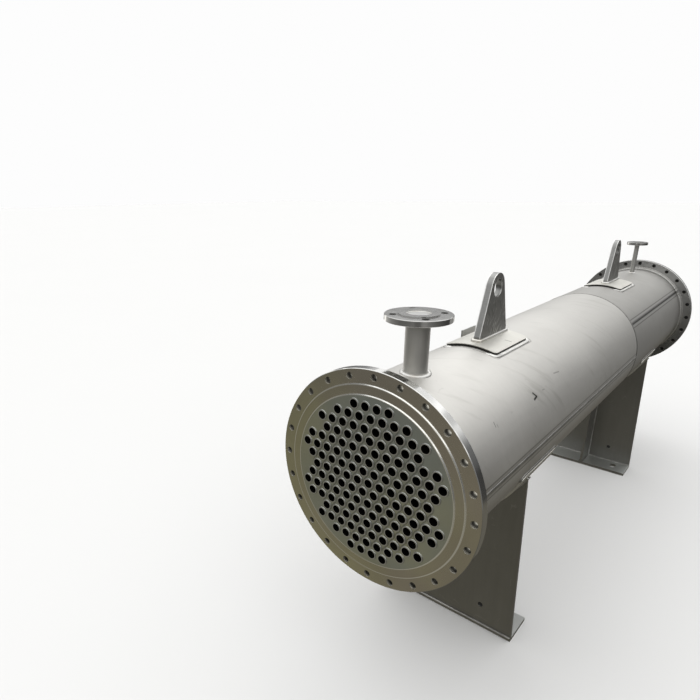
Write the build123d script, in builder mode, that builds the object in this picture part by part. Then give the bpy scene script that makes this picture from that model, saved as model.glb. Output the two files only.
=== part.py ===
from build123d import *
import os
from math import cos, hypot, radians, sin, sqrt

# A shell-and-tube condenser lying on two saddles. Millimetres, +Z up, X along the vessel.
# The front end is at -X. The origin is on the floor under the middle of the vessel.

# Tubes and their layout, in rows across the vessel
tube_diameter = 25.0
tube_wall = 2.0
tube_pitch = 32.0
tube_projection = 2.0
tube_hole_clearance = 0.125
bundle_radius = 200.0
tie_rod_rows = (-4, 0, 4)

# Tubesheets, with a face stepped twice towards the rim
sheet_thickness = 30.0
sheet_diameter = 565.0
sheet_edge_chamfer = 1.5
gasket_face_diameter = 490.0
tube_field_diameter = 442.0
face_step = 3.0
sheet_bolt_edge = 17.5
sheet_bolt_hole = 18.0
sheet_bolt_count = 24

# Shell, rolled in two courses
shell_diameter = 466.0
shell_wall = 8.0
front_course_length = 1536.0
rear_course_length = 964.0
axis_height = 685.0

# Nozzles, set into the shell near its ends
nozzle_setback = 155.0
nozzle_bolt_count = 4
flange_weld_setback = 5.0
flange_edge_chamfer = 1.0
large_pipe_diameter = 60.3
large_pipe_wall = 3.9
large_flange_diameter = 165.0
large_flange_thickness = 18.0
large_face_diameter = 102.0
large_face_step = 3.0
large_bolt_edge = 20.0
large_bolt_hole = 18.0
large_nozzle_reach = 383.0
small_pipe_diameter = 21.3
small_pipe_wall = 2.8
small_flange_diameter = 95.0
small_flange_thickness = 16.0
small_face_diameter = 45.0
small_face_step = 2.0
small_bolt_edge = 15.0
small_bolt_hole = 14.0
small_nozzle_reach = 392.0

# Lifting lugs, as far from each end of the shell, each on a pad that is not quite in its middle
lug_place = 583.0
front_pad_place = 568.0
rear_pad_place = 606.0
pad_length = 232.0
pad_thickness = 8.0
pad_half_angle = 18.8
pad_corner_radius = 12.0
lug_base_length = 182.0
lug_thickness = 20.0
lug_heel_height = 12.0
lug_eye_height = 144.0
lug_eye_radius = 44.0
lug_hole_diameter = 54.0

# Saddles: base plate, web towards the vessel's end, one rib right of the middle, and a wear plate
front_saddle_place = 496.0
rear_saddle_place = 616.0
base_length = 120.0
base_width = 470.0
base_thickness = 12.0
base_hole_diameter = 24.0
base_hole_spacing = 346.0
base_slot_travel = 16.0
web_thickness = 10.0
web_horn_angle = 64.0
web_hole_diameter = 16.0
web_hole_offset = 128.0
web_hole_height = 73.0
rib_thickness = 10.0
rib_offset = 36.0
wear_length = 260.0
wear_thickness = 6.0
wear_half_angle = 72.0
wear_corner_radius = 15.0

# Bracket for a nameplate: an upright plate on the left of the shell
bracket_place = 768.0
bracket_angle = 50.2
bracket_length = 104.0
bracket_rise = 43.0
bracket_thickness = 4.0

# Room at welded curved seats, and how far a cut runs past what it cuts
weld_gap = 0.2
overrun = 5.0

# Places worked out from the sizes above
shell_length = front_course_length + rear_course_length
shell_radius = shell_diameter / 2
shell_bore_radius = shell_radius - shell_wall
tube_length = shell_length + 2 * (sheet_thickness + tube_projection)
tube_bore_radius = tube_diameter / 2 - tube_wall
row_spacing = tube_pitch * sqrt(3) / 2
sheet_bolt_circle = sheet_diameter - 2 * sheet_bolt_edge
large_bolt_circle = large_flange_diameter - 2 * large_bolt_edge
small_bolt_circle = small_flange_diameter - 2 * small_bolt_edge
front_end = -shell_length / 2
rear_end = shell_length / 2
pad_radius = shell_radius + weld_gap
lug_seat_radius = pad_radius + pad_thickness
wear_radius = shell_radius + weld_gap
web_radius = wear_radius + wear_thickness + weld_gap

large_nozzle = (
    large_pipe_diameter,
    large_pipe_wall,
    large_flange_diameter,
    large_flange_thickness,
    large_face_diameter,
    large_face_step,
    large_bolt_circle,
    large_bolt_hole,
    large_nozzle_reach,
)
small_nozzle = (
    small_pipe_diameter,
    small_pipe_wall,
    small_flange_diameter,
    small_flange_thickness,
    small_face_diameter,
    small_face_step,
    small_bolt_circle,
    small_bolt_hole,
    small_nozzle_reach,
)

vessel_axis = Axis((0, 0, axis_height), (1, 0, 0))
side_plane = Plane((0, 0, axis_height), x_dir=(1, 0, 0), z_dir=(0, -1, 0))


def cross_plane(x):
    """The plane across the vessel at x, with its origin on the vessel's axis."""
    return Plane((x, 0, axis_height), x_dir=(0, 1, 0), z_dir=(1, 0, 0))


def save(piece, name):
    piece.part.label = name
    export_step(piece.part, f"parts/{name}.step")


def tube_places():
    """Centres of the tubes on a tubesheet, without the six places that the tie rods take."""
    last = int(bundle_radius // row_spacing)
    across = int(bundle_radius // tube_pitch) + 1
    places = []
    for row in range(-last, last + 1):
        height = row * row_spacing
        shift = tube_pitch / 2 if row % 2 else 0
        line = [(column * tube_pitch + shift, height) for column in range(-across, across + 1)]
        line = [place for place in line if hypot(*place) <= bundle_radius]
        places += line[1:-1] if row in tie_rod_rows else line
    return places


def tubesheet(end):
    """A tubesheet with its stepped face outwards. end is -1 at the front and 1 at the rear."""
    inner = end * shell_length / 2
    tube_face = inner + end * sheet_thickness
    gasket_face = tube_face - end * face_step
    bolt_face = gasket_face - end * face_step
    edge = end * sheet_edge_chamfer
    rim_radius = sheet_diameter / 2
    chamfer_radius = rim_radius - sheet_edge_chamfer
    gasket_radius = gasket_face_diameter / 2
    field_radius = tube_field_diameter / 2
    with BuildPart() as sheet:
        with BuildSketch(side_plane):
            with BuildLine():
                Polyline(
                    (inner, 0),
                    (inner, chamfer_radius),
                    (inner + edge, rim_radius),
                    (bolt_face - edge, rim_radius),
                    (bolt_face, chamfer_radius),
                    (bolt_face, gasket_radius),
                    (gasket_face, gasket_radius),
                    (gasket_face, field_radius),
                    (tube_face, field_radius),
                    (tube_face, 0),
                    close=True,
                )
            make_face()
        revolve(axis=vessel_axis)
        with BuildSketch(cross_plane(inner - end * overrun)):
            with Locations(*tube_places()):
                Circle(tube_diameter / 2 + tube_hole_clearance)
            with PolarLocations(sheet_bolt_circle / 2, sheet_bolt_count):
                Circle(sheet_bolt_hole / 2)
        extrude(amount=end * (sheet_thickness + 2 * overrun), mode=Mode.SUBTRACT)
    return sheet


def shell_course(start, length, nozzles):
    """A rolled course of the shell, cut for its nozzles, each given as place, side and pipe diameter."""
    with BuildPart() as course:
        with BuildSketch(cross_plane(start)):
            Circle(shell_radius)
            Circle(shell_bore_radius, mode=Mode.SUBTRACT)
        extrude(amount=length)
        for place, side, pipe_diameter in nozzles:
            with BuildSketch(Plane((place, 0, axis_height))):
                Circle(pipe_diameter / 2 + weld_gap)
            extrude(amount=side * (shell_radius + overrun), mode=Mode.SUBTRACT)
    return course


def nozzle(place, side, size):
    """The pipe and the slip-on flange of a nozzle. side is 1 on top of the shell and -1 below it."""
    pipe_diameter, pipe_wall, diameter, thickness, face_diameter, step, circle, hole, reach = size
    pipe_radius = pipe_diameter / 2
    pipe_end = reach - flange_weld_setback
    with BuildPart() as pipe:
        with BuildSketch(Plane((place, 0, axis_height + side * shell_bore_radius))):
            Circle(pipe_radius)
            Circle(pipe_radius - pipe_wall, mode=Mode.SUBTRACT)
        extrude(amount=side * (pipe_end - shell_bore_radius))
    with BuildPart() as flange:
        with BuildSketch(Plane((place, 0, axis_height + side * (reach - thickness)))):
            Circle(diameter / 2)
            Circle(pipe_radius + weld_gap, mode=Mode.SUBTRACT)
            with PolarLocations(circle / 2, nozzle_bolt_count, start_angle=180 / nozzle_bolt_count):
                Circle(hole / 2, mode=Mode.SUBTRACT)
        extrude(amount=side * (thickness - step))
        with BuildSketch(Plane((place, 0, axis_height + side * (reach - step)))):
            Circle(face_diameter / 2)
            Circle(pipe_radius + weld_gap, mode=Mode.SUBTRACT)
        extrude(amount=side * step)
        rim = flange.edges().filter_by(GeomType.CIRCLE).sort_by(SortBy.RADIUS)[-2:]
        chamfer(rim, flange_edge_chamfer)
    return pipe, flange


def rolled_plate(start, length, inner_radius, thickness, middle_angle, half_angle, corner_radius):
    """A plate bent to the shell, with rounded corners. Angles are measured from +Y towards +Z."""
    outer_radius = inner_radius + thickness
    first = middle_angle - half_angle
    with BuildPart() as plate:
        with BuildSketch(cross_plane(start)):
            with BuildLine():
                inside = CenterArc((0, 0), inner_radius, first, 2 * half_angle)
                outside = CenterArc((0, 0), outer_radius, first, 2 * half_angle)
                Line(inside @ 0, outside @ 0)
                Line(inside @ 1, outside @ 1)
            make_face()
        extrude(amount=length)
        corners = plate.edges().filter_by(GeomType.LINE).filter_by(Axis.X, reverse=True)
        fillet(corners, corner_radius)
    return plate


def lifting_lug(place):
    """A flat lug along the top of the shell, with straight flanks up to a round eye."""
    eye = (place, lug_seat_radius + lug_eye_height)
    with BuildPart() as lug:
        with BuildSketch(side_plane):
            with Locations((place, lug_seat_radius + lug_heel_height / 2)):
                Rectangle(lug_base_length, lug_heel_height)
            with Locations(eye):
                Circle(lug_eye_radius)
            make_hull()
            with Locations(eye):
                Circle(lug_hole_diameter / 2, mode=Mode.SUBTRACT)
        extrude(amount=lug_thickness / 2, both=True)
    return lug


def saddle(place, end, slot_travel):
    """A saddle's base plate, web and rib. The web stands at the base's edge on the side of end."""
    web_start = place + end * base_length / 2 - (web_thickness if end > 0 else 0)
    rib_start = place - base_length / 2 + (0 if end > 0 else web_thickness)
    rib_length = base_length - web_thickness
    base_top = base_thickness - axis_height
    half_base = base_width / 2
    horn_across = web_radius * sin(radians(web_horn_angle))
    horn_up = -web_radius * cos(radians(web_horn_angle))
    with BuildPart() as base:
        with BuildSketch():
            with Locations((place, 0)):
                Rectangle(base_length, base_width)
                with GridLocations(0, base_hole_spacing, 1, 2):
                    if slot_travel:
                        SlotCenterToCenter(slot_travel, base_hole_diameter, mode=Mode.SUBTRACT)
                    else:
                        Circle(base_hole_diameter / 2, mode=Mode.SUBTRACT)
        extrude(amount=base_thickness)
    with BuildPart() as web:
        with BuildSketch(cross_plane(web_start)):
            with BuildLine():
                Polyline(
                    (-horn_across, horn_up),
                    (-half_base, base_top),
                    (half_base, base_top),
                    (horn_across, horn_up),
                )
                ThreePointArc((-horn_across, horn_up), (0, -web_radius), (horn_across, horn_up))
            make_face()
            with Locations((-web_hole_offset, base_top + web_hole_height)):
                Circle(web_hole_diameter / 2, mode=Mode.SUBTRACT)
        extrude(amount=web_thickness)
    with BuildPart() as rib:
        with BuildSketch(cross_plane(rib_start)):
            with Locations((-rib_offset, base_top)):
                Rectangle(rib_thickness, -base_top, align=(Align.CENTER, Align.MIN))
            Circle(web_radius, mode=Mode.SUBTRACT)
        extrude(amount=rib_length)
    return base, web, rib


def nameplate_bracket():
    """An upright plate along the left of the shell, cut below to the shell's curve."""
    across = shell_radius * sin(radians(bracket_angle))
    top = shell_radius * cos(radians(bracket_angle)) + bracket_rise
    with BuildPart() as bracket:
        with BuildSketch(cross_plane(front_end + bracket_place)):
            with Locations((across, top)):
                Rectangle(bracket_thickness, 2 * bracket_rise, align=(Align.CENTER, Align.MAX))
            Circle(shell_radius + weld_gap, mode=Mode.SUBTRACT)
        extrude(amount=bracket_length)
    return bracket


os.makedirs("parts", exist_ok=True)

# Tubes and tubesheets
with BuildPart() as tube_bundle:
    with BuildSketch(cross_plane(-tube_length / 2)):
        with Locations(*tube_places()):
            Circle(tube_diameter / 2)
            Circle(tube_bore_radius, mode=Mode.SUBTRACT)
    extrude(amount=tube_length)
save(tube_bundle, "tube_bundle")
save(tubesheet(-1), "front_tubesheet")
save(tubesheet(1), "rear_tubesheet")

# Shell courses and the nozzles in them
front_nozzle_place = front_end + nozzle_setback
rear_nozzle_place = rear_end - nozzle_setback
front_nozzles = (
    (front_nozzle_place, 1, large_pipe_diameter),
    (front_nozzle_place, -1, small_pipe_diameter),
)
rear_nozzles = (
    (rear_nozzle_place, 1, small_pipe_diameter),
    (rear_nozzle_place, -1, large_pipe_diameter),
)
save(shell_course(front_end, front_course_length, front_nozzles), "front_shell_course")
save(shell_course(front_end + front_course_length, rear_course_length, rear_nozzles), "rear_shell_course")
for name, place, side, size in (
    ("vapour_inlet", front_nozzle_place, 1, large_nozzle),
    ("drain", front_nozzle_place, -1, small_nozzle),
    ("vent", rear_nozzle_place, 1, small_nozzle),
    ("condensate_outlet", rear_nozzle_place, -1, large_nozzle),
):
    pipe, flange = nozzle(place, side, size)
    save(pipe, f"{name}_pipe")
    save(flange, f"{name}_flange")

# Lifting lugs and their pads
for name, place, eye_place in (
    ("front", front_end + front_pad_place, front_end + lug_place),
    ("rear", rear_end - rear_pad_place, rear_end - lug_place),
):
    pad = rolled_plate(
        place - pad_length / 2,
        pad_length,
        pad_radius,
        pad_thickness,
        90,
        pad_half_angle,
        pad_corner_radius,
    )
    save(pad, f"{name}_lug_pad")
    save(lifting_lug(eye_place), f"{name}_lifting_lug")

# Saddles: the rear one slides on slotted holes as the vessel warms up
for name, place, end, slot_travel in (
    ("front_saddle", front_end + front_saddle_place, -1, 0),
    ("rear_saddle", rear_end - rear_saddle_place, 1, base_slot_travel),
):
    base, web, rib = saddle(place, end, slot_travel)
    save(base, f"{name}_base")
    save(web, f"{name}_web")
    save(rib, f"{name}_rib")
    wear_plate = rolled_plate(
        place - wear_length / 2,
        wear_length,
        wear_radius,
        wear_thickness,
        270,
        wear_half_angle,
        wear_corner_radius,
    )
    save(wear_plate, f"{name}_wear_plate")

save(nameplate_bracket(), "nameplate_bracket")
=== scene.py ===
from math import asin, cos, hypot, pi, radians, sin, sqrt

import bpy
from mathutils import Matrix, Vector


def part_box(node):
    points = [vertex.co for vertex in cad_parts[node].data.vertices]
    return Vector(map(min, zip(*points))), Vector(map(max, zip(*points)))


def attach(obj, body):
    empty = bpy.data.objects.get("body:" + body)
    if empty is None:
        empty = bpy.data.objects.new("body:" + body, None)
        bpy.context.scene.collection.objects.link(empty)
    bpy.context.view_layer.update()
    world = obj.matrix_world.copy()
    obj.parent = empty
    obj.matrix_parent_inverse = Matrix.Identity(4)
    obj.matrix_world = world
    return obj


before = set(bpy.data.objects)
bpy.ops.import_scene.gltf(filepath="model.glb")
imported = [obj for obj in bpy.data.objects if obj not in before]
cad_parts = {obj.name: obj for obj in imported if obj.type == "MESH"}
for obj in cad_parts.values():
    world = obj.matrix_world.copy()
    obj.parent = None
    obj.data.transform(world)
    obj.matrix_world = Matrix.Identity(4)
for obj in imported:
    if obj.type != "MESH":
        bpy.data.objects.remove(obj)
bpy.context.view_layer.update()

# Places read from the frame, in metres. The vessel's axis runs along X, and its front end is at -X.
shell_low, shell_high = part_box("front_shell_course")
SHELL_RADIUS = (shell_high.z - shell_low.z) / 2
AXIS = (shell_high.z + shell_low.z) / 2
FRONT = shell_low.x
GIRTH_SEAM = shell_high.x
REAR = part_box("rear_shell_course")[1].x
TUBE_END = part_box("tube_bundle")[1].x
SHEET_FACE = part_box("rear_tubesheet")[1].x
RIM_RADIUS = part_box("front_tubesheet")[1].y
NOZZLE_PLACE = (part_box("vent_pipe")[0].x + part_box("vent_pipe")[1].x) / 2
PAD_TOP_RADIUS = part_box("front_lug_pad")[1].z - AXIS
WEAR_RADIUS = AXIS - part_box("front_saddle_wear_plate")[0].z
LUG_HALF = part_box("front_lifting_lug")[1].y
LARGE_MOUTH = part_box("vapour_inlet_pipe")[1].z - AXIS
LARGE_PIPE_WALL = 0.0039
LARGE_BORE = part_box("vapour_inlet_pipe")[1].y - LARGE_PIPE_WALL

# The tubes' layout on a tubesheet
TUBE_PITCH = 0.032
ROW_STEP = TUBE_PITCH * sqrt(3) / 2
TUBE_RADIUS = 0.0125
TUBE_BORE = 0.0105
BUNDLE_RADIUS = 0.2
TIE_ROD_ROWS = (-4, 0, 4)

# Radii where the tubesheet's face steps back, and how far back it is at the rim
TUBE_FIELD_RADIUS = 0.221
GASKET_RADIUS = 0.245
RIM_SETBACK = 0.006

# Bolt holes round a tubesheet's rim: how many, their radius, the radius of their circle, and half the width
# of the band that they lie in
BOLT_COUNT = 24
BOLT_HOLE = 0.009
BOLT_CIRCLE = 0.265
BOLT_BAND_HALF = 0.011

# The small hole in a saddle's web: its radius, and its place across the vessel and above the base plate
WEB_HOLE = 0.008
WEB_HOLE_PLACE = (-0.128, 0.073)

# Seams along the courses, as turns from the top of the shell towards +Y
FRONT_SEAM_TURN = radians(-91)
REAR_SEAM_TURN = radians(-56.5)

# Brushed bands of the shell: half the width of one along a seam, and the length of one at a tubesheet
BRUSHED_HALF = 0.017
BRUSHED_END = 0.034

# Turns from the top where the painted shade on the shell's underside begins and is full
UNDERSIDE = (radians(92), radians(112))

# Plates bent to the shell: corner radii, and how wide the weld round a lug's pad is
PAD_CORNER = 0.012
WEAR_CORNER = 0.015
PAD_WELD_WIDTH = 0.014

# Scratches on the front course: start and end, each as x and as length round from the top, then width and
# share of tone. The scratch on the front lug's pad has the same, without the share.
SCRATCHES = (
    ((-0.791, -0.2210), (-0.779, -0.2336), 0.0060, 0.97),
    ((-0.779, -0.2336), (-0.799, -0.2371), 0.0060, 0.97),
    ((-1.043, -0.2227), (-1.044, -0.2342), 0.0030, 0.55),
    ((-1.034, -0.2312), (-1.034, -0.2379), 0.0030, 0.35),
    ((-0.611, -0.2091), (-0.574, -0.2134), 0.0036, 0.40),
    ((-0.730, -0.2291), (-0.717, -0.2303), 0.0036, 0.30),
)
PAD_SCRATCH = ((-0.671, -0.0486), (-0.664, -0.0644), 0.0032)

# How softly one finish gives way to the next
SOFT = 0.001

# Camera of the photograph, which is 700 pixels wide and high
PICTURE = 700
FOCAL_PIXELS = 536.25
MIDDLE_PIXEL = (306.62, 386.78)
CAMERA_PLACE = (-2.2097, -0.6443, AXIS + 0.6569)
CAMERA_RIGHT = (0.6678, -0.74428, -0.00954)
CAMERA_UP = (0.26125, 0.22237, 0.93931)
SENSOR = 36


def turn_at(height, radius):
    """The turn from the top of the point at that height on a circle round the axis."""
    return pi / 2 - asin((height - AXIS) / radius)


def plate_span(node, middle):
    """Middle and half length along the vessel, and half width round it, of a plate bent to the shell.

    middle is the turn of the plate's own middle: 0 on top of the shell and pi below it.
    """
    low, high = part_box(node)
    if middle == 0:
        half_turn = asin(high.y / (high.z - AXIS))
    else:
        half_turn = pi - turn_at(high.z, AXIS - low.z)
    return (low.x + high.x) / 2, (high.x - low.x) / 2, half_turn * SHELL_RADIUS


class Socket:
    """An output in a node tree. Python's operators on it add Math nodes."""

    def __init__(self, nodes, out):
        self.nodes = nodes
        self.out = out

    def maths(self, operation, *others):
        return self.nodes.add("ShaderNodeMath", {"operation": operation}, dict(enumerate((self, *others))))

    def __add__(self, other):
        return self.maths("ADD", other)

    def __sub__(self, other):
        return self.maths("SUBTRACT", other)

    def __rsub__(self, other):
        return self * -1 + other

    def __mul__(self, other):
        return self.maths("MULTIPLY", other)

    def __truediv__(self, other):
        return self.maths("DIVIDE", other)

    def __pow__(self, other):
        return self.maths("POWER", other)

    def __abs__(self):
        return self.maths("ABSOLUTE")

    def __or__(self, other):
        return self.maths("MAXIMUM", other)

    __radd__ = __add__
    __rmul__ = __mul__


class Nodes:
    """A node tree under construction."""

    def __init__(self, tree):
        self.tree = tree

    def add(self, kind, settings=None, inputs=None, output=0):
        """Add a node with its settings and inputs. output names the output to hand back, or several."""
        node = self.tree.nodes.new(kind)
        for key, value in (settings or {}).items():
            if key == "stops":
                set_stops(node.color_ramp, value)
            else:
                setattr(node, key, value)
        for key, value in (inputs or {}).items():
            if isinstance(value, Socket):
                self.tree.links.new(value.out, node.inputs[key])
            else:
                node.inputs[key].default_value = value
        if isinstance(output, tuple):
            return tuple(Socket(self, node.outputs[key]) for key in output)
        return Socket(self, node.outputs[output])

    def between(self, value, low, high):
        """0 where value is under low and 1 where it is over high, smooth in between."""
        inputs = {"Value": value, "From Min": low, "From Max": high}
        return self.add("ShaderNodeMapRange", {"interpolation_type": "SMOOTHSTEP"}, inputs)

    def mix(self, share, first, second, blend="MIX"):
        settings = {"data_type": "RGBA", "blend_type": blend}
        first = (*first, 1) if isinstance(first, tuple) else first
        second = (*second, 1) if isinstance(second, tuple) else second
        return self.add("ShaderNodeMix", settings, {0: share, 6: first, 7: second}, output=2)


def set_stops(ramp, stops):
    """Give a colour ramp its stops, each a position and a colour."""
    while len(ramp.elements) < len(stops):
        ramp.elements.new(1)
    for element, (position, colour) in zip(ramp.elements, stops):
        element.position = position
        element.color = (*colour, 1)


class Finish(Nodes):
    """A steel finish under construction, on the object's own coordinates in metres."""

    def __init__(self, name):
        self.material = bpy.data.materials.new(name)
        self.material.use_nodes = True
        super().__init__(self.material.node_tree)
        self.tree.nodes.clear()
        self.place = self.add("ShaderNodeTexCoord", output="Object")
        self.x, self.y, self.z = self.add("ShaderNodeSeparateXYZ", None, {0: self.place}, output=(0, 1, 2))
        self.up = self.z - AXIS
        self.radius = (self.y * self.y + self.up * self.up) ** 0.5
        self.turn = self.y.maths("ARCTAN2", self.up)

    def vector(self, x, y, z):
        return self.add("ShaderNodeCombineXYZ", None, {0: x, 1: y, 2: z})

    def noise(self, scale, detail=2, rough=0.5, at=None):
        inputs = {"Vector": at or self.place, "Scale": scale, "Detail": detail, "Roughness": rough}
        return self.add("ShaderNodeTexNoise", None, inputs)

    def band(self, value, middle, half, soft):
        """1 where value lies within half of middle, fading over soft."""
        return 1 - self.between(abs(value - middle), half - soft, half + soft)

    def line(self, value, middle, half):
        """A thin line along value's contour at middle."""
        return self.band(value, middle, half, half * 0.5)

    def off_plate(self, node):
        """How far outside a lug's pad a point of the shell is, and 0 under the pad."""
        middle_x, half_length, half_width = plate_span(node, 0)
        along = (abs(self.x - middle_x) - half_length) | 0.0
        across = (abs(self.turn) * SHELL_RADIUS - half_width) | 0.0
        return (along * along + across * across) ** 0.5

    def stroke(self, start, end, width):
        """A short scratch on the shell between two points, as x and as length round from the top."""
        run = (end[0] - start[0], end[1] - start[1])
        along = self.x - start[0]
        across = self.turn * SHELL_RADIUS - start[1]
        share = (along * run[0] + across * run[1]) / (run[0] ** 2 + run[1] ** 2)
        share = (share | 0.0).maths("MINIMUM", 1.0)
        along = along - share * run[0]
        across = across - share * run[1]
        return 1 - self.between((along * along + across * across) ** 0.5, width * 0.3, width * 0.7)

    def from_tube(self):
        """Distance from the axis of the nearest tube of the triangular layout."""
        row = (self.up / ROW_STEP).maths("ROUND")
        shift = row.maths("FLOORED_MODULO", 2.0) * (TUBE_PITCH / 2)
        column = ((self.y - shift) / TUBE_PITCH).maths("ROUND")
        across = self.y - shift - column * TUBE_PITCH
        along = self.up - row * ROW_STEP
        return (across * across + along * along) ** 0.5

    def facing(self, axis):
        """How squarely the surface faces along an axis, 0 for X, 1 for Y and 2 for Z, either way."""
        normal = self.add("ShaderNodeNewGeometry", output="Normal")
        return abs(self.add("ShaderNodeSeparateXYZ", None, {0: normal}, output=axis))

    def grey(self, value):
        return self.add("ShaderNodeCombineColor", None, {0: value, 1: value, 2: value})

    def bump(self, height, distance):
        return self.add("ShaderNodeBump", None, {"Height": height, "Distance": distance})

    def specks(self, scale, size, share):
        """Small spots of the given size, in that share of the cells of a grid."""
        inputs = {"Vector": self.place, "Scale": scale}
        distance, colour = self.add("ShaderNodeTexVoronoi", None, inputs, output=("Distance", "Color"))
        lot = self.add("ShaderNodeSeparateColor", None, {0: colour})
        spot = 1 - self.between(distance, size * scale * 0.5, size * scale)
        return spot * self.between(lot, 1 - share, 1 - share + 0.01)

    def hairlines(self, scale, width, share, at=None):
        """Short thin scratches: stretches of the contour lines of one noise, kept where another is high."""
        line = 1 - self.between(abs(self.noise(scale, 1, at=at) - 0.5), width * 0.4, width)
        return line * self.between(self.noise(scale * 1.7, 2, at=at), 1 - share, 1.04 - share)

    def shade(self, colour, rough, metal=1.0, normal=None):
        inputs = {"Base Color": colour, "Roughness": rough, "Metallic": metal}
        if isinstance(colour, tuple):
            inputs["Base Color"] = (*colour, 1)
        if normal:
            inputs["Normal"] = normal
        shader = self.add("ShaderNodeBsdfPrincipled", None, inputs)
        self.add("ShaderNodeOutputMaterial", None, {"Surface": shader}, output=())
        return self.material


def pickled_shell():
    """Rolled plate, pickled to an even matt grey, brushed beside its seams, with wipe marks and nicks, and
    painted shade that darkens it towards the rear and on its underside.
    """
    f = Finish("pickled_shell")
    toe_half = 0.0022
    pad_toe_half = 0.0016
    girth_toe, girth_toe_half = 0.0065, 0.0024
    undercut_half = 0.006
    fade_end = GIRTH_SEAM + 0.1
    streaks = f.noise(14, 3, 0.6, f.vector(f.x * 4.0, f.turn * 0.1, 0.0))
    smudges = f.noise(4.5, 4, 0.62)
    wipes = f.noise(9, 3, 0.7, f.vector(f.x * 0.6 + f.turn * 0.3, f.turn * 1.2, 0.0))
    grain = f.noise(1400, 2, 0.6)
    pits = f.noise(260, 3, 0.6)
    scuffs = f.hairlines(34, 0.012, 0.36, f.vector(f.x * 0.5, f.turn * 0.24, 0.0))
    nicks = f.specks(7, 0.0032, 0.14)
    front = 1 - f.between(f.x, GIRTH_SEAM - SOFT, GIRTH_SEAM + SOFT)
    from_front_seam = abs(f.turn - FRONT_SEAM_TURN) * SHELL_RADIUS
    from_rear_seam = abs(f.turn - REAR_SEAM_TURN) * SHELL_RADIUS
    from_seam = from_front_seam * front + from_rear_seam * (1 - front)
    from_girth = abs(f.x - GIRTH_SEAM)
    from_end = REAR - abs(f.x)
    off_pad = f.off_plate("front_lug_pad").maths("MINIMUM", f.off_plate("rear_lug_pad"))
    along_seam = 1 - f.between(from_seam, BRUSHED_HALF - SOFT, BRUSHED_HALF)
    brushed = along_seam | (1 - f.between(from_end, BRUSHED_END - SOFT, BRUSHED_END))
    toes = f.line(from_seam, BRUSHED_HALF, toe_half) | f.line(from_end, BRUSHED_END, toe_half)
    toes = toes | f.line(off_pad, PAD_WELD_WIDTH, pad_toe_half)
    toes = toes | (f.line(from_girth, girth_toe, girth_toe_half) * 0.9)
    undercut = f.line(from_seam, 0.0, undercut_half)
    smears = f.between(f.noise(1, 3, 0.6, f.vector(f.x * 24 + f.turn * 5, f.turn * 1.5, 0.0)), 0.52, 0.72)
    smears = smears * f.between(f.noise(2.6, 2), 0.42, 0.62)
    # Painted shade: the shell is darkened towards its rear end.
    fade = 1.04 - f.between(f.x, FRONT, fade_end) * 0.22
    shade = fade * (0.64 + front * 0.23 + smudges * 0.16 + streaks * 0.06 + wipes * 0.06)
    colour = f.mix(1.0, (0.60, 0.590, 0.566), f.grey(shade), "MULTIPLY")
    colour = f.mix(smears * 0.26, colour, (0.30, 0.295, 0.26))
    # Painted shade: the underside is darkened and browned past these turns.
    under = f.between(abs(f.turn), *UNDERSIDE)
    colour = f.mix(under * 0.45, colour, (0.27, 0.25, 0.205))
    colour = f.mix(brushed * 0.3, colour, (0.52, 0.52, 0.51))
    colour = f.mix(toes * (0.85 - front * 0.3), colour, (0.16, 0.155, 0.145))
    colour = f.mix(undercut * 0.8, colour, (0.10, 0.097, 0.09))
    colour = f.mix(scuffs * 0.16, colour, (0.30, 0.295, 0.28))
    colour = f.mix(nicks * 0.85, colour, (0.06, 0.055, 0.05))
    for start, end, width, tone in SCRATCHES:
        colour = f.mix(f.stroke(start, end, width) * tone, colour, (0.04, 0.038, 0.035))
    rough = 0.46 + smudges * 0.08 + wipes * 0.06 - brushed * 0.06
    height = grain * 0.35 + pits * 0.4 + streaks * 0.25
    return f.shade(colour, rough, normal=f.bump(height, 0.00008))


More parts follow.
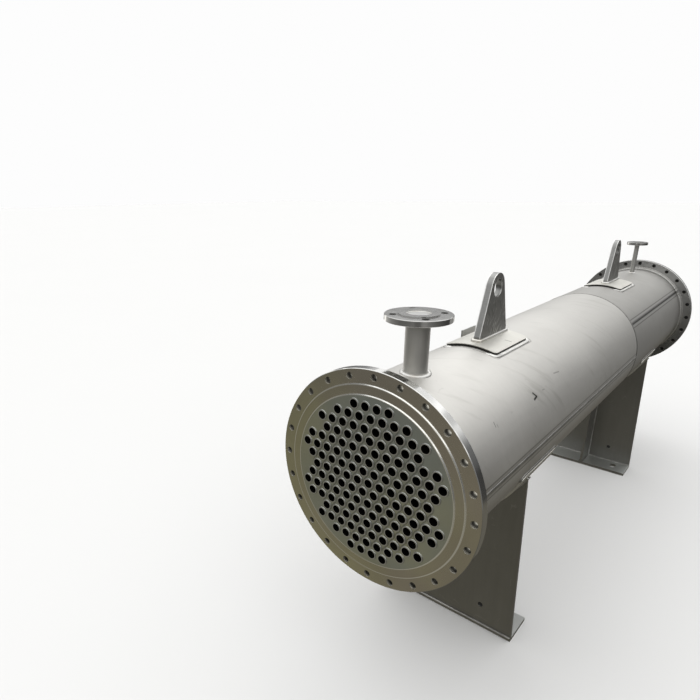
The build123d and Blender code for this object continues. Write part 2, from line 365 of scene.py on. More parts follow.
def machined_sheet():
    """A tubesheet faced on a lathe: fine rings, a dull tube field, a polished rim, painted highlight lines on
    its steps, and bolt holes painted dark deeper in as shade.
    """
    f = Finish("machined_sheet")
    step_soft = 0.0015
    step_half = 0.0016
    rim_begins, rim_full = RIM_RADIUS - 0.0022, RIM_RADIUS - 0.0008
    hole_shade_ends = 0.010
    toe_radius, toe_half = TUBE_RADIUS + 0.0028, 0.0010
    toes_fade, toes_end = 0.17, 0.178
    front_end, rear_end = -0.1, 0.1
    rings = f.noise(420, 2, 0.7, f.vector(f.radius, 0.0, 0.0))
    broad = f.noise(38, 2, 0.6, f.vector(f.radius, 0.0, 0.0))
    stains = f.noise(7, 4, 0.6)
    grain = f.noise(1500, 2)
    flat = f.between(f.facing(0), 0.4, 0.6)
    field = 1 - f.between(f.radius, TUBE_FIELD_RADIUS - step_soft, TUBE_FIELD_RADIUS)
    rim = f.between(f.radius, rim_begins, rim_full)
    bolts = f.band(f.radius, BOLT_CIRCLE, BOLT_BAND_HALF, SOFT) * (1 - flat)
    depth = (SHEET_FACE - RIM_SETBACK - abs(f.x)).maths("MINIMUM", abs(f.x) - REAR)
    deep = f.between(depth, SOFT, hole_shade_ends)
    steps = f.line(f.radius, TUBE_FIELD_RADIUS, step_half) | f.line(f.radius, GASKET_RADIUS, step_half)
    front = 1 - f.between(f.x, front_end, rear_end)
    tint = f.between(f.noise(3.2, 2) + f.y * 0.5 - f.up * 0.7, 0.35, 0.75)
    colour = f.mix(field, (0.50, 0.465, 0.40), (0.43, 0.465, 0.44))
    colour = f.mix(tint * (0.75 - field * 0.15), colour, (0.57, 0.56, 0.36))
    toes = f.line(f.from_tube(), toe_radius, toe_half) * (1 - f.between(f.radius, toes_fade, toes_end))
    colour = f.mix(toes * 0.7, colour, (0.18, 0.185, 0.17))
    colour = f.mix(front, (0.48, 0.48, 0.475), colour)
    drift = f.noise(2.4, 2)
    colour = f.mix(1.0, colour, f.grey(0.54 + rings * 0.14 + stains * 0.24 + drift * 0.5), "MULTIPLY")
    # Painted highlight: pale lines along the two steps of the face.
    colour = f.mix(steps, colour, (0.92, 0.92, 0.90))
    colour = f.mix(rim, colour, (0.60, 0.60, 0.59))
    # Painted shade: the bolt holes' walls are painted pale near the face and near black deeper in.
    colour = f.mix(bolts, colour, f.mix(deep, (0.62, 0.60, 0.53), (0.10, 0.097, 0.085)))
    rough = 0.20 + field * 0.10 + stains * 0.10 + broad * 0.05 - (rim | steps) * 0.14 + bolts * 0.4
    normal = f.bump(rings * 0.7 + broad * 0.3 + grain * 0.05, 0.00002)
    return f.shade(colour, rough, normal=normal)


def drawn_tube():
    """Thin drawn tube: a satin cut end, with painted shade at the inner edge of its end and inside its mouth.
    """
    f = Finish("drawn_tube")
    rounding = 0.0004
    dark_depth = 0.004
    inside = 1 - f.between(abs(f.x), TUBE_END - dark_depth, TUBE_END - rounding)
    mouth = 1 - f.between(f.from_tube(), TUBE_BORE, TUBE_BORE + rounding)
    grain = f.noise(700, 2)
    # Painted shade: near black inside the tube near its end and at the inner edge of its end.
    colour = f.mix(inside | mouth, (0.62, 0.625, 0.60), (0.012, 0.012, 0.011))
    return f.shade(colour, 0.30 + grain * 0.12 + inside * 0.3, normal=f.bump(grain, 0.0001))


def turned_flange():
    """A flange turned bright: rings round its bore and a polished rim."""
    f = Finish("turned_flange")
    along = abs(f.x) - NOZZLE_PLACE
    radius = (along * along + f.y * f.y) ** 0.5
    rings = f.noise(700, 2, 0.6, f.vector(radius, 0.0, f.z * 0.4))
    cloud = f.noise(28, 3, 0.6)
    colour = f.mix(1.0, (0.62, 0.618, 0.605), f.grey(0.84 + rings * 0.16 + cloud * 0.12), "MULTIPLY")
    return f.shade(colour, 0.10 + cloud * 0.12, normal=f.bump(rings, 0.00002))


def drawn_pipe():
    """Seamless pipe, satin along its length, with a painted highlight: the inside of a large one's mouth is
    painted pale and mostly not metal.
    """
    f = Finish("drawn_pipe")
    pale_ends, pale_full = LARGE_MOUTH - 0.05, LARGE_MOUTH - 0.01
    bore_full, bore_ends = LARGE_BORE + 0.0002, LARGE_BORE + 0.0008
    small_pipe, large_pipe = 0.020, 0.022
    lines = f.noise(60, 3, 0.6, f.vector(f.x * 5, f.y * 5, f.z * 0.3))
    cloud = f.noise(22, 3, 0.6)
    nicks = f.specks(40, 0.0016, 0.15)
    along = abs(f.x) - NOZZLE_PLACE
    radius = (along * along + f.y * f.y) ** 0.5
    mouth = f.between(abs(f.up), pale_ends, pale_full)
    bore = mouth * f.between(radius, small_pipe, large_pipe) * (1 - f.between(radius, bore_full, bore_ends))
    colour = f.mix(1.0, (0.52, 0.515, 0.495), f.grey(0.86 + lines * 0.14 + cloud * 0.1), "MULTIPLY")
    colour = f.mix(nicks * 0.8, colour, (0.07, 0.065, 0.06))
    # Painted highlight: the large pipe's bore near its mouth is painted pale and mostly not metal, so that it
    # shows as lit.
    colour = f.mix(bore, colour, (0.92, 0.92, 0.91))
    rough = 0.40 + cloud * 0.14
    return f.shade(colour, rough, metal=1 - bore * 0.9, normal=f.bump(lines + cloud * 0.5, 0.0001))


def cut_plate():
    """Plate for the lugs: scuffed grey faces, and cut edges with drag lines and painted highlights along
    their corners.
    """
    f = Finish("cut_plate")
    corner_begins, corner_full = LUG_HALF - 0.0024, LUG_HALF - 0.0016
    edge = 1 - f.between(f.facing(1), 0.35, 0.6)
    drag = f.noise(160, 2, 0.6, f.vector(f.x * 6, f.y * 0.5, f.z * 6))
    cloud = f.noise(16, 4, 0.65)
    slant = f.vector(f.x * 10 + f.z * 16, 0.0, f.x * 150 - f.z * 95)
    cross = f.vector(f.x * 130 + f.z * 65, 5.0, f.x * 8 - f.z * 16)
    patches = f.between(f.noise(24, 2), 0.42, 0.56)
    scuffs = f.between(f.noise(1, 3, 0.6, slant), 0.53, 0.64) * patches
    streaks = f.between(f.noise(1, 3, 0.6, cross), 0.54, 0.7)
    grain = f.noise(900, 2)
    colour = f.mix(1.0, (0.23, 0.228, 0.218), f.grey(0.62 + cloud * 0.7), "MULTIPLY")
    colour = f.mix(scuffs * 0.8, colour, (0.66, 0.655, 0.63))
    colour = f.mix(streaks * 0.65, colour, (0.08, 0.079, 0.074))
    cut = f.mix(1.0, (0.25, 0.25, 0.244), f.grey(0.7 + drag * 0.45), "MULTIPLY")
    corner = edge * f.between(abs(f.y), corner_begins, corner_full)
    colour = f.mix(edge, colour, cut)
    # Painted highlight: pale lines where the cut edges meet the faces.
    colour = f.mix(corner * 0.7, colour, (0.80, 0.80, 0.78))
    rough = 0.30 + cloud * 0.16 - edge * 0.06
    height = grain * 0.2 + cloud * 0.4 + scuffs * 0.3 + drag * edge * 0.6
    return f.shade(colour, rough, normal=f.bump(height, 0.00015))


def pickled_plate():
    """Plate bent to the shell, pickled to a pale warm grey, with painted shade on its edges."""
    f = Finish("pickled_plate")
    edge_begins, edge_full = 0.0015, 0.0021
    upper_half = f.between(f.up, 0.0, 0.1)
    cloud = f.noise(14, 4, 0.6)
    grain = f.noise(900, 2)
    scratches = f.hairlines(22, 0.01, 0.45)
    top = upper_half * (PAD_TOP_RADIUS - WEAR_RADIUS) + WEAR_RADIUS
    end = f.between(f.facing(0), 0.5, 0.7) * (1 - upper_half)
    edge = f.between(top - f.radius, edge_begins, edge_full) * (1 - end)
    colour = f.mix(1.0, (0.64, 0.63, 0.59), f.grey(0.88 + cloud * 0.22), "MULTIPLY")
    colour = f.mix(scratches * 0.2, colour, (0.3, 0.29, 0.27))
    colour = f.mix(f.stroke(*PAD_SCRATCH) * 0.8, colour, (0.06, 0.058, 0.053))
    # Painted shade: the plate's edges are painted near black, except a wear plate's ends.
    colour = f.mix(edge, colour, (0.03, 0.029, 0.027))
    return f.shade(colour, 0.42 + cloud * 0.12, normal=f.bump(grain * 0.3 + cloud * 0.4, 0.0003))


def saddle_plate():
    """Hot-rolled plate for the saddles: darker as painted shade under the vessel, with long soft streaks, and
    painted lighter on faces that face across the vessel or up or down.
    """
    f = Finish("saddle_plate")
    cloud = f.noise(6, 4, 0.6)
    streaks = f.noise(12, 3, 0.65, f.vector(f.x * 3, f.y * 3, f.z * 0.35))
    grain = f.noise(800, 2)
    scratches = f.hairlines(15, 0.008, 0.45)
    # Painted shade: the saddles' dark base colour stands in for the shade under the vessel.
    colour = f.mix(1.0, (0.24, 0.237, 0.22), f.grey(0.78 + cloud * 0.25 + streaks * 0.18), "MULTIPLY")
    colour = f.mix(scratches * 0.25, colour, (0.42, 0.41, 0.39))
    # Painted light: faces that face across the vessel are lighter.
    colour = f.mix(f.between(f.facing(1), 0.6, 0.8) * 0.6, colour, (0.44, 0.44, 0.425))
    # Painted light: faces that face up or down are lighter still.
    colour = f.mix(f.between(f.facing(2), 0.6, 0.8) * 0.85, colour, (0.68, 0.70, 0.69))
    rough = 0.36 + cloud * 0.14
    return f.shade(colour, rough, normal=f.bump(grain * 0.25 + streaks * 0.4, 0.0003))


def weld_metal():
    """Weld beads, brushed and pickled to a bright silver with a trace of heat colour."""
    f = Finish("weld_metal")
    tint = f.noise(18, 2)
    grain = f.noise(500, 2)
    colour = f.mix(f.between(tint, 0.45, 0.75), (0.66, 0.655, 0.635), (0.56, 0.53, 0.47))
    return f.shade(colour, 0.30 + grain * 0.15, normal=f.bump(grain, 0.0002))


def tube_weld_metal():
    """The small welds round the tubes' ends, the grey of the tubesheet's face."""
    f = Finish("tube_weld_metal")
    tint = f.noise(90, 2)
    colour = f.mix(tint, (0.38, 0.385, 0.38), (0.50, 0.505, 0.495))
    return f.shade(colour, 0.26 + tint * 0.12)


def seam_metal(name, metal):
    """A ground weld cap, in patches of its own metal and of a darker tone."""
    f = Finish(name)
    dark_share = 0.68
    tint = f.noise(30, 3, 0.6)
    grain = f.noise(600, 2)
    darker = tuple(dark_share * part for part in metal)
    colour = f.mix(f.between(tint, 0.35, 0.7), metal, darker)
    return f.shade(colour, 0.38 + grain * 0.12, normal=f.bump(grain, 0.0002))


def plug_rubber():
    """Black rubber with a little dust on it; its black stands in for the shade inside the holes that it
    fills.
    """
    f = Finish("plug_rubber")
    dust = f.noise(160, 3, 0.6)
    # Painted shade: near-black plugs put where the holes would show shade.
    colour = f.mix(f.between(dust, 0.5, 0.8), (0.012, 0.012, 0.012), (0.05, 0.048, 0.045))
    return f.shade(colour, 0.55 + dust * 0.2, metal=0.0)


def pale_floor():
    """A matt pale floor, faintly uneven in tone."""
    f = Finish("pale_floor")
    cloud = f.noise(0.6, 2)
    colour = f.mix(cloud, (0.645, 0.645, 0.642), (0.655, 0.655, 0.653))
    return f.shade(colour, 0.8, metal=0.0)


SHELL_FINISH = pickled_shell()
SHEET_FINISH = machined_sheet()
TUBE_FINISH = drawn_tube()
FLANGE_FINISH = turned_flange()
PIPE_FINISH = drawn_pipe()
LUG_FINISH = cut_plate()
PAD_FINISH = pickled_plate()
SADDLE_FINISH = saddle_plate()
WELD_FINISH = weld_metal()
GIRTH_SEAM_FINISH = seam_metal("girth_seam_metal", (0.30, 0.295, 0.28))
LOW_SEAM_FINISH = seam_metal("low_seam_metal", (0.41, 0.405, 0.39))
HIGH_SEAM_FINISH = seam_metal("high_seam_metal", (0.09, 0.088, 0.083))
PAD_WELD_FINISH = seam_metal("pad_weld_metal", (0.76, 0.755, 0.73))
TUBE_WELD_FINISH = tube_weld_metal()
PLUG_FINISH = plug_rubber()


def finish_of(node):
    """The finish that a CAD node takes, by its name."""
    for ending, finish in (
        ("shell_course", SHELL_FINISH),
        ("tubesheet", SHEET_FINISH),
        ("tube_bundle", TUBE_FINISH),
        ("flange", FLANGE_FINISH),
        ("pipe", PIPE_FINISH),
        ("lifting_lug", LUG_FINISH),
        ("pad", PAD_FINISH),
        ("wear_plate", PAD_FINISH),
    ):
        if node.endswith(ending):
            return finish
    return SADDLE_FINISH


for node_name, node_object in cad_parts.items():
    node_object.data.materials.clear()
    node_object.data.materials.append(finish_of(node_name))


def geometry_tree(name, numbers):
    """A Geometry Nodes tree with named inputs for its sizes and metal. Returns its nodes and inputs."""
    tree = bpy.data.node_groups.new(name, "GeometryNodeTree")
    tree.interface.new_socket("Geometry", in_out="INPUT", socket_type="NodeSocketGeometry")
    for number in numbers:
        tree.interface.new_socket(number, in_out="INPUT", socket_type="NodeSocketFloat")
    tree.interface.new_socket("Metal", in_out="INPUT", socket_type="NodeSocketMaterial")
    tree.interface.new_socket("Geometry", in_out="OUTPUT", socket_type="NodeSocketGeometry")
    nodes = Nodes(tree)
    names = ("Geometry", *numbers, "Metal")
    return nodes, dict(zip(names, nodes.add("NodeGroupInput", output=names)))


def end_tree(nodes, geometry, metal):
    """Realize, smooth and coat what the tree made, and hand it out."""
    geometry = nodes.add("GeometryNodeRealizeInstances", None, {0: geometry})
    geometry = nodes.add("GeometryNodeSetShadeSmooth", None, {"Geometry": geometry})
    geometry = nodes.add("GeometryNodeSetMaterial", None, {"Geometry": geometry, "Material": metal})
    nodes.add("NodeGroupOutput", None, {0: geometry}, output=())
    return nodes.tree


def bead_tree(name, low=False):
    """A weld bead along each curve, as thick as the curve's radius, with the ripples of the torch.

    A low bead lies on the shell, flattened towards the vessel's axis.
    """
    sides = 10 if low else 8
    points_share = 0.34
    wander_share = 0.15
    nodes, given = geometry_tree(name, ("Ripple", "Depth") + (("Flatness", "Axis") if low else ()))
    inputs = {"Curve": given["Geometry"], "Length": given["Ripple"] * points_share}
    curve = nodes.add("GeometryNodeResampleCurve", {"mode": "LENGTH"}, inputs)
    profile = nodes.add("GeometryNodeCurvePrimitiveCircle", None, {"Resolution": sides, "Radius": 1.0})
    if low:
        place = nodes.add("GeometryNodeInputPosition")
        across, height = nodes.add("ShaderNodeSeparateXYZ", None, {0: place}, output=(1, 2))
        outward = nodes.add("ShaderNodeCombineXYZ", None, {1: across, 2: height - given["Axis"]})
        inputs = {"Curve": curve, "Normal": outward}
        curve = nodes.add("GeometryNodeSetCurveNormal", {"mode": "FREE"}, inputs)
        squash = nodes.add("ShaderNodeCombineXYZ", None, {0: given["Flatness"], 1: 1.0, 2: 1.0})
        profile = nodes.add("GeometryNodeTransform", None, {"Geometry": profile, "Scale": squash})
    run = nodes.add("GeometryNodeSplineParameter", output="Length") / given["Ripple"]
    crest = abs((run * pi).maths("SINE"))
    inputs = {"W": run * wander_share, "Detail": 2.0}
    wander = nodes.add("ShaderNodeTexNoise", {"noise_dimensions": "1D"}, inputs)
    swell = 1 - given["Depth"] * (1 - crest) + (wander - 0.5) * given["Depth"] * 2
    width = nodes.add("GeometryNodeInputRadius") * swell
    inputs = {"Curve": curve, "Profile Curve": profile, "Scale": width, "Fill Caps": True}
    return end_tree(nodes, nodes.add("GeometryNodeCurveToMesh", None, inputs), given["Metal"])


# Turns a ring or a disc so that its axis runs along the vessel
ALONG_X = (0, pi / 2, 0)


def ring_tree():
    """A small ring on each point, as the weld round a tube's end."""
    nodes, given = geometry_tree("tube_end_weld", ("Radius", "Bead"))
    ring_sides, bead_sides = 18, 5
    inputs = {"Resolution": ring_sides, "Radius": given["Radius"]}
    ring = nodes.add("GeometryNodeCurvePrimitiveCircle", None, inputs)
    inputs = {"Resolution": bead_sides, "Radius": given["Bead"]}
    profile = nodes.add("GeometryNodeCurvePrimitiveCircle", None, inputs)
    ring = nodes.add("GeometryNodeCurveToMesh", None, {"Curve": ring, "Profile Curve": profile})
    inputs = {"Points": given["Geometry"], "Instance": ring, "Rotation": ALONG_X}
    return end_tree(nodes, nodes.add("GeometryNodeInstanceOnPoints", None, inputs), given["Metal"])


def plug_tree():
    """A dished plug on each point, pressed into a hole along X."""
    nodes, given = geometry_tree("hole_plug", ("Radius", "Dish", "Depth"))
    sides, rings = 20, 2
    inputs = {"Vertices": sides, "Fill Segments": rings, "Radius": given["Radius"], "Depth": given["Depth"]}
    disc = nodes.add("GeometryNodeMeshCylinder", None, inputs, output="Mesh")
    place = nodes.add("GeometryNodeInputPosition")
    x, y, z = nodes.add("ShaderNodeSeparateXYZ", None, {0: place}, output=(0, 1, 2))
    inner = 1 - (x * x + y * y) ** 0.5 / given["Radius"]
    dished = nodes.add("ShaderNodeCombineXYZ", None, {2: z.maths("SIGN") * inner * given["Dish"] * -1})
    disc = nodes.add("GeometryNodeSetPosition", None, {"Geometry": disc, "Offset": dished})
    inputs = {"Points": given["Geometry"], "Instance": disc, "Rotation": ALONG_X}
    return end_tree(nodes, nodes.add("GeometryNodeInstanceOnPoints", None, inputs), given["Metal"])


def grown(name, source, tree, slot, **values):
    """Grow a tree from source's data, keep the result as a plain mesh and let it ride on the vessel."""
    base = bpy.data.objects.new(name + "_path", source)
    bpy.context.scene.collection.objects.link(base)
    grow = base.modifiers.new("grow", "NODES")
    grow.node_group = tree
    for item in tree.interface.items_tree:
        if item.in_out == "INPUT" and item.name in values:
            grow[item.identifier] = values[item.name]
    evaluated = base.evaluated_get(bpy.context.evaluated_depsgraph_get())
    mesh = bpy.data.meshes.new_from_object(evaluated)
    bpy.data.objects.remove(base)
    mesh.name = name
    piece = bpy.data.objects.new(name, mesh)
    bpy.context.scene.collection.objects.link(piece)
    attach(piece, "root")


def on_shell(x, turn, radius):
    """The point at x and radius from the vessel's axis, turned from the top towards +Y."""
    return Vector((x, radius * sin(turn), AXIS + radius * cos(turn)))


def around(x, radius, first=0.0, last=2 * pi, steps=240):
    """Points round the vessel's axis at x."""
    return [on_shell(x, first + (last - first) * i / steps, radius) for i in range(steps + 1)]


def along_shell(turn, start, end):
    """A straight run along the shell."""
    return [on_shell(x, turn, SHELL_RADIUS) for x in (start, end)]


def run_of(*corners):
    """Corners as a run of points."""
    return [Vector(corner) for corner in corners]


def plate_outline(node, middle, corner, reach, lift):
    """Points round the edge of a plate bent to the shell, reach outside it and lift above the shell."""
    middle_x, half_length, half_width = plate_span(node, middle)
    steps = 8
    points = []
    for quarter, (sx, sy) in enumerate(((1, 1), (-1, 1), (-1, -1), (1, -1))):
        for i in range(steps + 1):
            t = (quarter + i / steps) * pi / 2
            along = sx * (half_length - corner) + (corner + reach) * cos(t)
            across = sy * (half_width - corner) + (corner + reach) * sin(t)
            points.append(on_shell(middle_x + along, middle + across / SHELL_RADIUS, SHELL_RADIUS + lift))
    return dense(points + points[:1])


def dense(points, step=0.02):
    """The same run with no stretch longer than step, so that it follows the shell when bent to it."""
    out = []
    for a, b in zip(points, points[1:]):
        parts = max(1, int((b - a).length / step))
        out += [a.lerp(b, i / parts) for i in range(parts)]
    return out + points[-1:]


def bead_curve(name, runs):
    """A curve with one straight-sided spline for each run, given as points and a bead radius."""
    curve = bpy.data.curves.new(name, "CURVE")
    curve.dimensions = "3D"
    same_place = 1e-6
    for points, radius in runs:
        closed = (points[0] - points[-1]).length < same_place
        points = points[:-1] if closed else points
        spline = curve.splines.new("POLY")
        spline.points.add(len(points) - 1)
        for place, point in zip(spline.points, points):
            place.co = (*point, 1)
            place.radius = radius
        spline.use_cyclic_u = closed
    return curve


BEAD = bead_tree("weld_bead")
LOW_BEAD = bead_tree("low_weld_bead", low=True)
TUBE_RING = ring_tree()
PLUG = plug_tree()

# Weld beads: their radii, how flat the low ones are, and how far a fillet's middle is from its corner, as a
# share of its radius
GIRTH_SEAM_WELD = 0.0058
LOW_SEAM_WELD = 0.0058
HIGH_SEAM_WELD = 0.0042
SEAM_FLATNESS = 0.22
PAD_FLATNESS = 0.5
SHEET_WELD = 0.0065
LARGE_NOZZLE_WELD = 0.0075
SMALL_NOZZLE_WELD = 0.0042
LIP_WELD = 0.00208
LUG_WELD = 0.0052
SADDLE_WELD = 0.0040
WEAR_WELD = 0.0030
BRACKET_WELD = 0.0026
TUBE_WELD = 0.0010
CORNER_SHARE = 0.45

# Ripples that the torch leaves: the length of one, and the depth as a share of the bead's radius
RIPPLE = 0.006
GROUND_RIPPLE = 0.005
NOZZLE_RIPPLE = 0.0045
BRACKET_RIPPLE = 0.004
RIPPLE_DEPTH = 0.10
LOW_RIPPLE_DEPTH = 0.06
WEAR_RIPPLE_DEPTH = 0.04

# Plugs: their room in a hole, and how deep their dish and they themselves are, in the rim and in a web
PLUG_ROOM = 0.0001
RIM_PLUG = (0.002, 0.009)
WEB_PLUG = (0.001, 0.005)


def weld(name, runs, slot, ripple=RIPPLE, depth=RIPPLE_DEPTH, finish=WELD_FINISH):
    """A piece of weld beads along the runs, with ripples of that length and depth."""
    grown(name, bead_curve(name, runs), BEAD, slot, Ripple=ripple, Depth=depth, Metal=finish)


def low_weld(name, runs, flatness, slot, ripple, finish):
    """A piece of weld beads along the runs, flattened on the shell."""
    sizes = {"Ripple": ripple, "Depth": LOW_RIPPLE_DEPTH, "Flatness": flatness, "Axis": AXIS}
    grown(name, bead_curve(name, runs), LOW_BEAD, slot, Metal=finish, **sizes)


def seam_welds():
    """The girth seam between the courses and a seam along each course, ground to a low cap."""
    girth = around(GIRTH_SEAM, SHELL_RADIUS)
    low_run = along_shell(FRONT_SEAM_TURN, FRONT, GIRTH_SEAM)
    high_run = along_shell(REAR_SEAM_TURN, GIRTH_SEAM, REAR)
    for name, run, radius, finish in (
        ("girth_seam_weld", girth, GIRTH_SEAM_WELD, GIRTH_SEAM_FINISH),
        ("front_seam_weld", low_run, LOW_SEAM_WELD, LOW_SEAM_FINISH),
        ("rear_seam_weld", high_run, HIGH_SEAM_WELD, HIGH_SEAM_FINISH),
    ):
        low_weld(name, [(run, radius)], SEAM_FLATNESS, "shell_steel", GROUND_RIPPLE, finish)


def sheet_welds():
    """The fillet between each tubesheet's back and the shell."""
    inset = SHEET_WELD * CORNER_SHARE
    runs = [(around(x, SHELL_RADIUS + inset), SHEET_WELD) for x in (FRONT + inset, REAR - inset)]
    weld("tubesheet_welds", runs, "shell_steel", finish=SHELL_FINISH)


def nozzle_welds():
    """Fillets where each nozzle leaves the shell, behind its flange and inside its mouth."""
    steps = 72
    sink_share = 0.25
    collar_share, collar_bead_share = 0.2, 0.5
    lip_inset = 0.0005
    runs = []
    for name, bead in (
        ("vapour_inlet", LARGE_NOZZLE_WELD),
        ("vent", SMALL_NOZZLE_WELD),
        ("drain", SMALL_NOZZLE_WELD),
        ("condensate_outlet", LARGE_NOZZLE_WELD),
    ):
        low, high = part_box(name + "_pipe")
        flange_low, flange_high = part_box(name + "_flange")
        x = (low.x + high.x) / 2
        pipe = (high.x - low.x) / 2
        side = 1 if low.z > AXIS else -1
        back = flange_low.z if side > 0 else flange_high.z
        mouth = high.z if side > 0 else low.z
        out = pipe + bead * CORNER_SHARE
        inner = pipe - lip_inset
        foot, collar, lip = [], [], []
        for i in range(steps + 1):
            t = 2 * pi * i / steps
            across = out * sin(t)
            rise = sqrt(SHELL_RADIUS**2 - across**2) - bead * sink_share
            foot.append(Vector((x + out * cos(t), across, AXIS + side * rise)))
            collar.append(Vector((x + out * cos(t), across, back - side * bead * collar_share)))
            lip.append(Vector((x + inner * cos(t), inner * sin(t), mouth + side * lip_inset)))
        runs += [(foot, bead), (collar, bead * collar_bead_share), (lip, LIP_WELD)]
    weld("nozzle_welds", runs, "nozzle_steel", NOZZLE_RIPPLE)


def pad_welds():
    """Low fillets round the lugs' pads, and narrower ones round the saddles' wear plates."""
    half = PAD_WELD_WIDTH / 2
    overlap = 0.0008
    reach = half - overlap
    lift = WEAR_WELD * CORNER_SHARE
    pads, wears = [], []
    for end in ("front", "rear"):
        pads.append((plate_outline(end + "_lug_pad", 0, PAD_CORNER, reach, 0.0), half))
        wear = plate_outline(end + "_saddle_wear_plate", pi, WEAR_CORNER, lift, lift)
        wears.append((wear, WEAR_WELD))
    low_weld("pad_welds", pads, PAD_FLATNESS, "pad_steel", RIPPLE, PAD_WELD_FINISH)
    weld("wear_plate_welds", wears, "pad_steel", depth=WEAR_RIPPLE_DEPTH, finish=GIRTH_SEAM_FINISH)


def lug_welds():
    """Fillets round the foot of each lug."""
    inset = LUG_WELD * CORNER_SHARE
    runs = []
    for end in ("front", "rear"):
        low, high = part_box(end + "_lifting_lug")
        x0, x1 = low.x - inset, high.x + inset
        y0, y1 = low.y - inset, high.y + inset
        z = low.z + inset
        loop = run_of((x0, y0, z), (x1, y0, z), (x1, y1, z), (x0, y1, z), (x0, y0, z))
        runs.append((dense(loop), LUG_WELD))
    weld("lug_welds", runs, "lug_steel")


def saddle_welds():
    """Fillets that join each saddle's web, rib, base and wear plate."""
    inset = SADDLE_WELD * CORNER_SHARE
    arc_steps = 60
    runs = []
    for end in ("front_saddle", "rear_saddle"):
        web_low, web_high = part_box(end + "_web")
        rib_low, rib_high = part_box(end + "_rib")
        wear_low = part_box(end + "_wear_plate")[0]
        wear = AXIS - wear_low.z + inset
        horn = turn_at(web_high.z, wear)
        for x in (web_low.x - inset, web_high.x + inset):
            runs.append((around(x, wear, horn, 2 * pi - horn, arc_steps), SADDLE_WELD))
            foot = web_low.z + inset
            foot_run = run_of((x, web_low.y + inset, foot), (x, web_high.y - inset, foot))
            runs.append((foot_run, SADDLE_WELD))
        rib_first = rib_low.x < web_low.x
        free, joint = (rib_low.x, rib_high.x) if rib_first else (rib_high.x, rib_low.x)
        corner = joint - inset if rib_first else joint + inset
        bottom, top = rib_low.z + inset, rib_high.z - inset
        for y in (rib_low.y - inset, rib_high.y + inset):
            runs.append((run_of((joint, y, bottom), (free, y, bottom)), SADDLE_WELD))
            runs.append((run_of((joint, y, top), (free, y, top)), SADDLE_WELD))
            runs.append((run_of((corner, y, rib_low.z), (corner, y, rib_high.z)), SADDLE_WELD))
    weld("saddle_welds", runs, "saddle_steel", finish=LOW_SEAM_FINISH)


def bracket_welds():
    """A fillet round the foot of the nameplate bracket, on the slope of the shell."""
    low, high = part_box("nameplate_bracket")
    inset = BRACKET_WELD * CORNER_SHARE
    corners = []
    for x, y in ((low.x, low.y), (high.x, low.y), (high.x, high.y), (low.x, high.y), (low.x, low.y)):
        x += inset if x == high.x else -inset
        y += inset if y == high.y else -inset
        corners.append(on_shell(x, asin(y / SHELL_RADIUS), SHELL_RADIUS + inset))
    weld("bracket_welds", [(dense(corners), BRACKET_WELD)], "lug_steel", BRACKET_RIPPLE)


def tube_places():
    """Centres of the tubes across the vessel, without the places of the tie rods."""
    last = int(BUNDLE_RADIUS / ROW_STEP)
    across = int(BUNDLE_RADIUS / TUBE_PITCH) + 1
    places = []
    for row in range(-last, last + 1):
        shift = TUBE_PITCH / 2 if row % 2 else 0
        line = [(column * TUBE_PITCH + shift, row * ROW_STEP) for column in range(-across, across + 1)]
        line = [place for place in line if hypot(*place) <= BUNDLE_RADIUS]
        places += line[1:-1] if row in TIE_ROD_ROWS else line
    return places


def tube_end_welds():
    """The small weld round each tube where it comes through a tubesheet."""
    points = bpy.data.meshes.new("tube_ends")
    ends = [(side * SHEET_FACE, y, AXIS + z) for side in (-1, 1) for y, z in tube_places()]
    points.from_pydata(ends, [], [])
    sizes = {"Radius": TUBE_RADIUS + TUBE_WELD / 2, "Bead": TUBE_WELD}
    grown("tube_end_welds", points, TUBE_RING, "machined_steel", Metal=TUBE_WELD_FINISH, **sizes)


def plugs(name, places, slot, hole, dish, depth):
    """A piece of like plugs in holes of that radius along X."""
    points = bpy.data.meshes.new(name + "_places")
    points.from_pydata(places, [], [])
    sizes = {"Radius": hole - PLUG_ROOM, "Dish": dish, "Depth": depth}
    grown(name, points, PLUG, slot, Metal=PLUG_FINISH, **sizes)


def hole_plugs():
    """Black plugs in the rear tubesheet's bolt holes and in the hole of each saddle's web, standing in for
    the shade inside these holes.
    """
    middle = (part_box("rear_tubesheet")[0].x + SHEET_FACE) / 2
    turns = [2 * pi * i / BOLT_COUNT for i in range(BOLT_COUNT)]
    rim = [on_shell(middle, turn, BOLT_CIRCLE) for turn in turns]
    plugs("rear_bolt_hole_plugs", rim, "machined_steel", BOLT_HOLE, *RIM_PLUG)
    webs = []
    for end in ("front_saddle", "rear_saddle"):
        low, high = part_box(end + "_web")
        webs.append(((low.x + high.x) / 2, WEB_HOLE_PLACE[0], low.z + WEB_HOLE_PLACE[1]))
    plugs("web_hole_plugs", webs, "saddle_steel", WEB_HOLE, *WEB_PLUG)


seam_welds()
sheet_welds()
nozzle_welds()
pad_welds()
lug_welds()
saddle_welds()
bracket_welds()
tube_end_welds()
hole_plugs()


def floor():
    """A wide plain floor, which the metal doesn't mirror."""
    half = 60.0
    corners = [(-half, -half, 0), (half, -half, 0), (half, half, 0), (-half, half, 0)]
    mesh = bpy.data.meshes.new("floor")
    mesh.from_pydata(corners, [], [(0, 1, 2, 3)])
    mesh.materials.append(pale_floor())
    plane = bpy.data.objects.new("floor", mesh)
    bpy.context.scene.collection.objects.link(plane)
    plane.visible_glossy = False
    plane.visible_diffuse = False


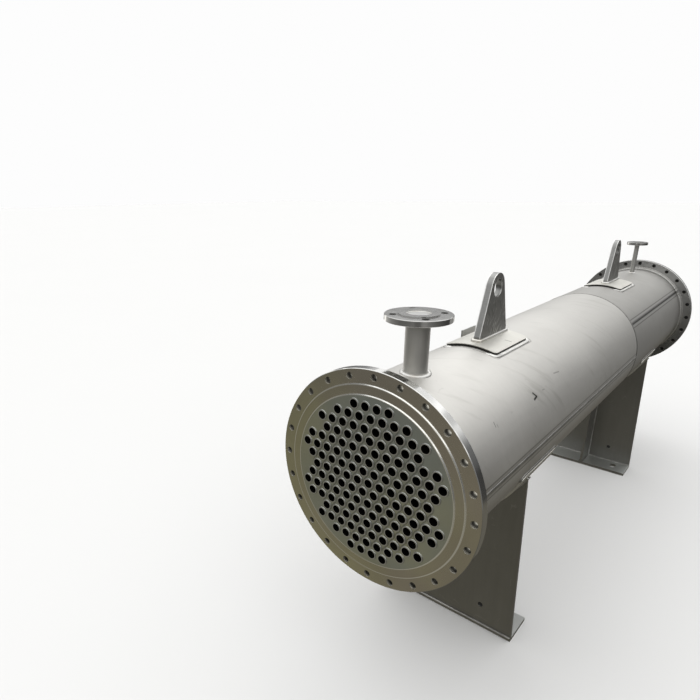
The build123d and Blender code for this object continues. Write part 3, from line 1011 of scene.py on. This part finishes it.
# What the metal mirrors, as places and tones: the ceiling by height above the horizon, and under it the walls
# and the ground by the compass, which runs from the front (0) by the right (0.25), the rear (0.5) and the
# left (0.75) back to the front (1)
CEILING = (
    (0.0, 0.13),
    (0.08, 0.16),
    (0.16, 0.20),
    (0.20, 0.17),
    (0.205, 0.22),
    (0.25, 0.36),
    (0.30, 0.66),
    (0.35, 1.0),
    (0.40, 1.0),
    (0.41, 0.55),
    (0.50, 0.55),
    (0.51, 1.25),
    (0.552, 1.25),
    (0.56, 0.66),
    (0.60, 0.66),
    (0.61, 1.06),
)
WALLS = (
    (0.0, 0.11),
    (0.026, 0.135),
    (0.05, 0.135),
    (0.055, 0.09),
    (0.11, 0.09),
    (0.115, 0.20),
    (0.16, 0.20),
    (0.17, 0.15),
    (0.255, 0.09),
    (0.33, 0.055),
    (0.37, 0.04),
    (0.418, 0.04),
    (0.428, 0.30),
    (0.446, 0.30),
    (0.465, 0.13),
    (0.50, 0.09),
    (0.60, 0.11),
    (0.65, 0.12),
    (0.655, 1.0),
    (0.71, 1.0),
    (0.715, 0.42),
    (0.77, 0.30),
    (0.80, 0.20),
    (0.91, 0.10),
    (1.0, 0.11),
)
GROUND = (
    (0.0, 0.165),
    (0.09, 0.15),
    (0.15, 0.13),
    (0.22, 0.08),
    (0.32, 0.08),
    (0.42, 0.11),
    (0.50, 0.09),
    (0.60, 0.10),
    (0.73, 0.12),
    (0.80, 0.19),
    (0.90, 0.18),
    (1.0, 0.165),
)
CEILING_TINT = (1.0, 1.0, 0.993)
WALL_TINT = (1.0, 0.985, 0.94)
GROUND_TINT = (1.0, 0.94, 0.77)

# A panel on the right that dims the ceiling: where it begins and ends by the compass, its top by height, and
# its tone
PANEL_START = (0.2, 0.25)
PANEL_END = (0.418, 0.436)
PANEL_TOP = (0.42, 0.46)
PANEL_TONE = 0.65

# Heights over which walls turn into ceiling and ground into walls
HORIZON = (-0.06, 0.02)
WALL_FOOT = (-0.38, -0.32)

# Strength of these surroundings, and the tone of the backdrop that the camera sees in their place
GLOW = 1.5
BACKDROP = 0.982

# The lamp overhead: its strength, spread and direction
LAMP_STRENGTH = 0.4
LAMP_SPREAD = radians(50)
LAMP_FROM = (0.5, 0.35, 1.0)


def tinted(tones, tint):
    """Stops for a colour ramp, from places and tones of one tint."""
    return [(place, tuple(tone * share for share in tint)) for place, tone in tones]


def studio():
    """A white backdrop, a soft lamp, and a ceiling, walls and olive ground for the metal to mirror."""
    world = bpy.data.worlds.new("studio")
    bpy.context.scene.world = world
    world.use_nodes = True
    world.node_tree.nodes.clear()
    nodes = Nodes(world.node_tree)
    direction = nodes.add("ShaderNodeTexCoord", output="Generated")
    x, y, z = nodes.add("ShaderNodeSeparateXYZ", None, {0: direction}, output=(0, 1, 2))
    compass = y.maths("ARCTAN2", x) / (2 * pi) + 0.5
    above = nodes.add("ShaderNodeValToRGB", {"stops": tinted(CEILING, CEILING_TINT)}, {0: z})
    panel = nodes.between(compass, *PANEL_START) * (1 - nodes.between(compass, *PANEL_END))
    panel = panel * (1 - nodes.between(z, *PANEL_TOP))
    above = nodes.mix(panel * (1 - PANEL_TONE), above, (0.0, 0.0, 0.0))
    walls = nodes.add("ShaderNodeValToRGB", {"stops": tinted(WALLS, WALL_TINT)}, {0: compass})
    below = nodes.add("ShaderNodeValToRGB", {"stops": tinted(GROUND, GROUND_TINT)}, {0: compass})
    mirrored = nodes.mix(nodes.between(z, *WALL_FOOT), below, walls)
    mirrored = nodes.mix(nodes.between(z, *HORIZON), mirrored, above)
    seen = nodes.add("ShaderNodeLightPath", output="Is Camera Ray")
    colour = nodes.mix(seen, mirrored, (BACKDROP / GLOW,) * 3)
    light = nodes.add("ShaderNodeBackground", None, {"Color": colour, "Strength": GLOW})
    nodes.add("ShaderNodeOutputWorld", None, {"Surface": light}, output=())
    lamp = bpy.data.lights.new("overhead", "SUN")
    lamp.energy = LAMP_STRENGTH
    lamp.angle = LAMP_SPREAD
    holder = bpy.data.objects.new("overhead", lamp)
    holder.rotation_euler = Vector(LAMP_FROM).to_track_quat("Z", "Y").to_euler()
    bpy.context.scene.collection.objects.link(holder)


def photo_camera():
    """A camera where the photograph was taken from, with its middle off the picture's centre as there."""
    lens = bpy.data.cameras.new("camera")
    lens.sensor_width = SENSOR
    lens.lens = SENSOR * FOCAL_PIXELS / PICTURE
    lens.shift_x = (PICTURE / 2 - MIDDLE_PIXEL[0]) / PICTURE
    lens.shift_y = (MIDDLE_PIXEL[1] - PICTURE / 2) / PICTURE
    right = Vector(CAMERA_RIGHT).normalized()
    up = Vector(CAMERA_UP)
    back = right.cross(up).normalized()
    up = back.cross(right)
    holder = bpy.data.objects.new("camera", lens)
    turn = Matrix((right, up, back)).transposed()
    holder.matrix_world = Matrix.Translation(CAMERA_PLACE) @ turn.to_4x4()
    bpy.context.scene.collection.objects.link(holder)
    bpy.context.scene.camera = holder


floor()
studio()
photo_camera()
bpy.context.scene.view_settings.view_transform = "Standard"

bpy.context.view_layer.update()
